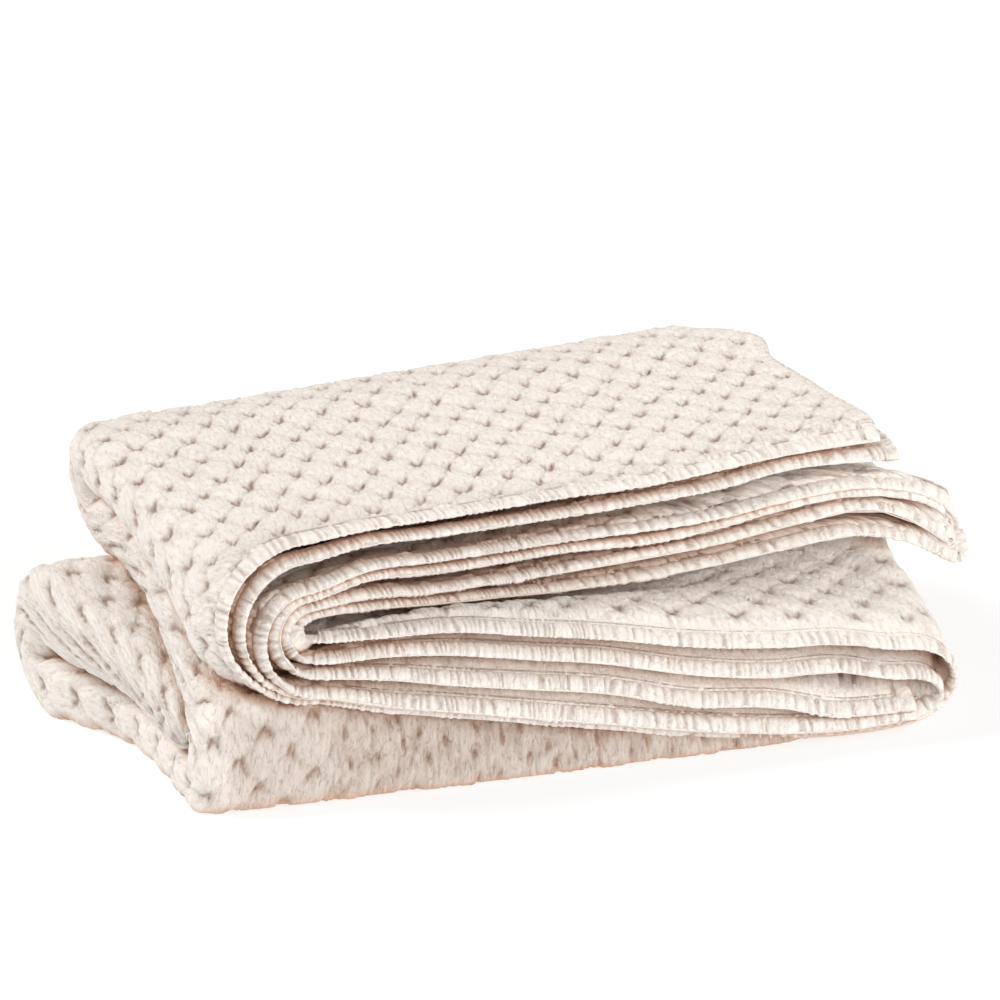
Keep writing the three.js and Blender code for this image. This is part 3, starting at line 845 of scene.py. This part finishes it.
def quilted_face(
    name, side, face, route_span, depth_span, steps=(STEP, STEP), strength=1.0, sunk=(1, 1, 1, 1),
    ridges=0.0, shade=0.0, inside=0.0,
):
    """A quilted surface of one half of the cloth, on its outward face (1) or on the one inside the fold (-1).

    Its four edges are sunk into the sheet, or run on into the next face where sunk is 0. shade paints shade
    on the cloth at the low front, and inside paints warm shade on it behind the hems.
    """
    spans = np.array([route_span, depth_span]) + [[-OVERLAP, OVERLAP]] * 2 * (1 - np.reshape(sunk, (2, 2)))
    route, depth = (np.linspace(a, b, round((b - a) / step) + 1) for (a, b), step in zip(spans, steps))
    place = lie(side, route, depth)
    u, v = place[:, :, 3], place[:, :, 4]
    place = place[:, :, :3]
    down = np.gradient(place, axis=0)
    normal = np.cross(np.gradient(place, axis=1), down)
    normal /= np.linalg.norm(normal, axis=2, keepdims=True)
    down /= np.linalg.norm(down, axis=2, keepdims=True)
    hand = -side * face
    height, pit, pillow = quilting(u, v, SEEDS[side], ridges)
    ends = [route - route[0], route[-1] - route, depth - depth[0], depth[-1] - depth]
    ends = [distance if ends_here else distance + FAR_OFF for distance, ends_here in zip(ends, sunk)]
    if depth_span[0] == 0:
        ends[2] = depth - HEM_SEAM
    across = np.minimum(ends[0], ends[1])[None, :]
    border = np.clip(np.minimum(across, np.minimum(ends[2], ends[3])[:, None]) / BORDER, 0, 1)
    lift = -EDGE_SUNK + (RAISED + strength * height) * border
    lap = LAP * np.clip((LAP_TURNS - depth) / LAP_FADE, -1, 1)[:, None] * border * pillow
    place = place + normal * (hand * lift)[:, :, None] - down * lap[:, :, None]
    place[:, :, 2] = np.maximum(place[:, :, 2], FLOOR_GAP)
    x, y, z = np.moveaxis(place, 2, 0)
    low_front_shade = np.clip(x / SHADE_FADE, 0, 1) * np.clip((SHADE_DEPTH - y) / SHADE_FADE, 0, 1)
    low_front_shade = low_front_shade * np.clip((SHADE_HEIGHT - z) / SHADE_FADE, 0, 1)
    painted_shade_behind_hem = np.clip(v / 12 - 0.8, 0, 1)
    # Painted shade: that of the pits and creases, less at the low front, plus painted shade over the low
    # front and behind the hems.
    pit = pit * border * (1 - 0.8 * shade * low_front_shade) + shade * low_front_shade + inside * painted_shade_behind_hem
    order = slice(None, None, hand)
    piece = lay_grid(name, place[:, order], np.dstack([u, v])[:, order], pit=pit[:, order])
    piece.data.materials.append(cotton)
    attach(piece, "root")


# Each puff leans a little towards the row before it, and behind the back fold towards the row after it.
at_section = {(row[0], row[1]): DEPTH_AT[i] for i, row in enumerate(SECTIONS)}
LAP = 1.2
LAP_FADE = 40
LAP_TURNS = at_section["over", 0.5]

# The low front gets painted shade, as the bundle's own shade falls there, up to this depth and height.
SHADE_DEPTH = 50
SHADE_HEIGHT = 60
SHADE_FADE = 20

# How far in from the hem the faces reach that are seen only at the front, and how far along it those round
# the nose.
STRIP = 45
APRON_DEPTH = 150
NOSE_DEPTH = 200
NOSE_BESIDE = 60
THIRD_BESIDE = 55

quilted_face("top_face", 1, 1, (0, left_span[0]), (0, at_section["over", 0.86]), sunk=(1, 0, 1, 1))
quilted_face("left_roll", 1, 1, left_span, (0, all_depth), sunk=(0, 0, 1, 1), steps=(STEP, 1.4), shade=0.5)
front_depth = (at_section["second", "middle"], at_section["bottom", "middle"])
quilted_face(
    "closed_front", 1, 1, (left_span[1], apron_span[0]), front_depth,
    sunk=(0, 0, 1, 0), strength=0.9, ridges=0.7, shade=0.55,
)
quilted_face(
    "low_back_fold", 1, 1, (left_span[1], apron_span[0]), (front_depth[1], all_depth),
    sunk=(0, 0, 0, 1), steps=(2.6, 2.6),
)
quilted_face("right_roll", 1, 1, apron_span, (0, all_depth), sunk=(0, 0, 1, 1), steps=(2, 2.4))
quilted_face("apron_face", 1, 1, (apron_span[1], inner_span[0]), (0, APRON_DEPTH), sunk=(0, 1, 1, 1))
quilted_face("loose_nose", 1, 1, (nose_span[0] - NOSE_BESIDE, nose_span[1] + NOSE_BESIDE), (0, NOSE_DEPTH))
# The strips get painted warm shade behind their hems (inside).
quilted_face(
    "third_strip", 1, 1, (nose_span[1] + THIRD_BESIDE, route_end), (0, STRIP),
    steps=(STEP, 2.6), strength=0.8, ridges=0.4, inside=0.3,
)
STRIPS = (("outer_lining_strip", 1, -1), ("inner_strip", -1, 1), ("inner_lining_strip", -1, -1))
for name, side, face in STRIPS:
    quilted_face(
        name, side, face, (0, route_end), (0, STRIP),
        steps=(STEP, 3.2), strength=0.8, ridges=0.4, inside=0.3,
    )

# The hems.
# Every edge of the cloth is turned in twice and sewn, which makes a soft round band about 8 mm wide and
# 3 mm thick. It is gathered into fine ribs by washing, and its stitch line lies in a groove.
HEM_PROFILE = [(10.4, 0.7), (9.0, 0.35), (8.0, 1.15), (6.4, 1.75), (4.2, 1.9), (2.0, 1.7), (0.4, 1.0)]
HEM_PROFILE += [(-0.2, 0.0)] + [(a, -b) for a, b in HEM_PROFILE[::-1]]
HEM_WIDTH = 10.4
HEM_ROUND = 24  # the way round the profile
HEM_INWARD = 9  # where the line lies that shows the way into the cloth
HEM_STEP = 0.95
END_HEM_STEP = 1.6
END_HEM_SEED = 120


def hem_band(name, edge, inward, along, seed):
    """A hem swept along an edge of the cloth: its points, the way into the cloth and the length so far."""
    ahead_of = np.gradient(edge, axis=0)
    ahead_of /= np.linalg.norm(ahead_of, axis=1, keepdims=True)
    inward = inward - ahead_of * np.sum(inward * ahead_of, axis=1, keepdims=True)
    inward /= np.linalg.norm(inward, axis=1, keepdims=True)
    normal = np.cross(ahead_of, inward)
    rows, stitch_and_painted_shade = [], []
    slow = uneven(along / 34, along * 0, seed)
    quick = uneven(along / 8, along * 0, seed + 1)
    for k, (a, b) in enumerate(HEM_PROFILE):
        outer = 1 - a / HEM_WIDTH
        valley = gathers(along, 9 + 12 * k / len(HEM_PROFILE) + 0 * along, seed)
        reach = a + outer * (0.5 * slow + 0.45 * quick + 1.1 * valley)
        thick = b * (1.15 - 0.75 * valley) + outer * (0.5 * slow + 0.35 * quick)
        row = edge + inward * reach[:, None] + normal * thick[:, None]
        row[:, 2] = np.maximum(row[:, 2], FLOOR_GAP)
        rows.append(row)
        # Painted shade in the ribs' valleys, and the stitch line darker in its groove.
        stitch_and_painted_shade.append(0.7 * valley + (0.8 if k in (1, len(HEM_PROFILE) - 2) else 0))
    points = np.array(rows + [rows[0]])
    sides = [math.dist(p, q) for p, q in zip(HEM_PROFILE, HEM_PROFILE[1:])]
    uv = np.dstack(np.meshgrid(along, [0, *np.cumsum(sides), HEM_ROUND]))
    piece = lay_grid(name, points, uv, pit=np.clip(stitch_and_painted_shade + stitch_and_painted_shade[:1], 0, 1))
    mesh = bmesh.new()
    mesh.from_mesh(piece.data)
    bmesh.ops.remove_doubles(mesh, verts=mesh.verts, dist=1e-6)
    bmesh.ops.holes_fill(mesh, edges=mesh.edges, sides=0)
    bmesh.ops.recalc_face_normals(mesh, faces=mesh.faces)
    mesh.to_mesh(piece.data)
    mesh.free()
    piece.data.shade_smooth()
    piece.data.materials.append(cotton)
    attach(piece, "root")


hem_lines = np.linspace(0, route_end, round(route_end / HEM_STEP) + 1)
end_lines = np.linspace(0, all_depth, round(all_depth / END_HEM_STEP) + 1)
for side, half in ((1, "outer"), (-1, "inner")):
    band = lie(side, hem_lines, np.array([0, HEM_INWARD]))[:, :, :3]
    hem_band(f"{half}_hem", band[0], band[1] - band[0], hem_lines, SEEDS[side])
    for end, start, behind in (("first", 0, HEM_INWARD), ("last", route_end, route_end - HEM_INWARD)):
        band = lie(side, np.sort([start, behind]), end_lines)[:, :, :3]
        a, b = (band[:, 0], band[:, 1]) if start < behind else (band[:, 1], band[:, 0])
        hem_band(f"{half}_{end}_end_hem", a, b - a, end_lines, END_HEM_SEED + side)
